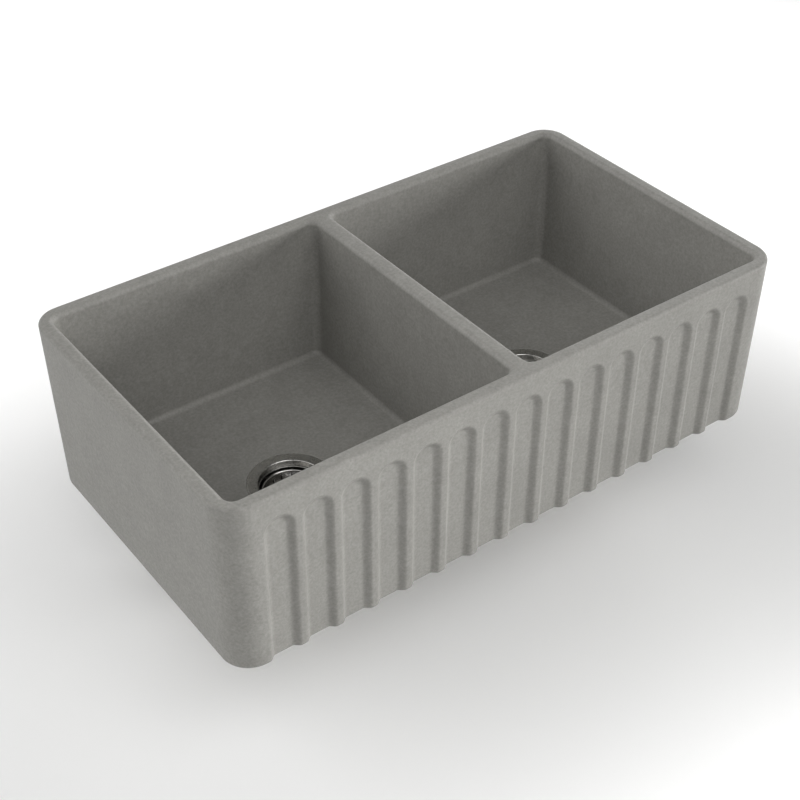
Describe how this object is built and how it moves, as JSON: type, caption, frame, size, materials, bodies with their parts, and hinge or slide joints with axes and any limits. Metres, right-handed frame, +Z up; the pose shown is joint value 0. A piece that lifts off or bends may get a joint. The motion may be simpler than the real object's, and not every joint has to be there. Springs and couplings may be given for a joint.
{
  "type": "farmhouse apron front sink",
  "caption": "Farmhouse apron-front sink in matte stone-grey ceramic: fluted apron, double bowl with divider, and a basket strainer drain with tailpiece in each bowl.",
  "frame": {"origin": "centre of the ceramic body's flat underside", "axes": "+X to the right of someone who stands at the apron, +Y away from them, towards the wall, +Z up"},
  "size_m": [0.8458, 0.4599, 0.3982],
  "materials": {
    "ceramic_body": "matte, finely speckled stone grey",
    "strainer_steel": "satin flange with a polished lip",
    "basket_steel": "polished",
    "knob_chrome": "polished",
    "stem_steel": "turned",
    "tailpiece_chrome": "polished",
    "drain_brass": "as cast, machined faces",
    "drain_rubber": "matte black",
    "seal_rubber": "matte black",
    "drain_fibre": "pressed fibre board"
  },
  "bodies": {
    "root": {"sink_body": "ceramic_body", "left_strainer_body": "strainer_steel", "left_flange_gasket": "drain_rubber", "left_rubber_washer": "drain_rubber", "left_friction_ring": "drain_fibre", "left_lock_nut": "drain_brass", "left_tailpiece_washer": "drain_rubber", "left_tailpiece": "tailpiece_chrome", "left_coupling_nut": "drain_brass", "left_stem_clip": "stem_steel", "right_strainer_body": "strainer_steel", "right_flange_gasket": "drain_rubber", "right_rubber_washer": "drain_rubber", "right_friction_ring": "drain_fibre", "right_lock_nut": "drain_brass", "right_tailpiece_washer": "drain_rubber", "right_tailpiece": "tailpiece_chrome", "right_coupling_nut": "drain_brass", "right_stem_clip": "stem_steel"},
    "left_stopper": {"left_basket_stem": "stem_steel", "left_basket_knob": "knob_chrome", "left_stopper_seal": "seal_rubber", "left_seal_retainer": "stem_steel", "left_stem_nut": "drain_brass"},
    "left_basket": {"left_basket": "basket_steel"},
    "right_stopper": {"right_basket_stem": "stem_steel", "right_basket_knob": "knob_chrome", "right_stopper_seal": "seal_rubber", "right_seal_retainer": "stem_steel", "right_stem_nut": "drain_brass"},
    "right_basket": {"right_basket": "basket_steel"}
  },
  "joints": [
    {"name": "left_basket_lift", "type": "slide", "parent": "root", "child": "left_stopper", "axis": [0, 0, 1], "range_m": [0, 0.3]},
    {"name": "left_basket_turn", "type": "hinge", "parent": "left_stopper", "child": "left_basket", "pos_m": [-0.204, -0.008, 0], "axis": [0, 0, 1], "continuous": true},
    {"name": "right_basket_lift", "type": "slide", "parent": "root", "child": "right_stopper", "axis": [0, 0, 1], "range_m": [0, 0.3]},
    {"name": "right_basket_turn", "type": "hinge", "parent": "right_stopper", "child": "right_basket", "pos_m": [0.19, -0.008, 0], "axis": [0, 0, 1], "continuous": true}
  ]
}
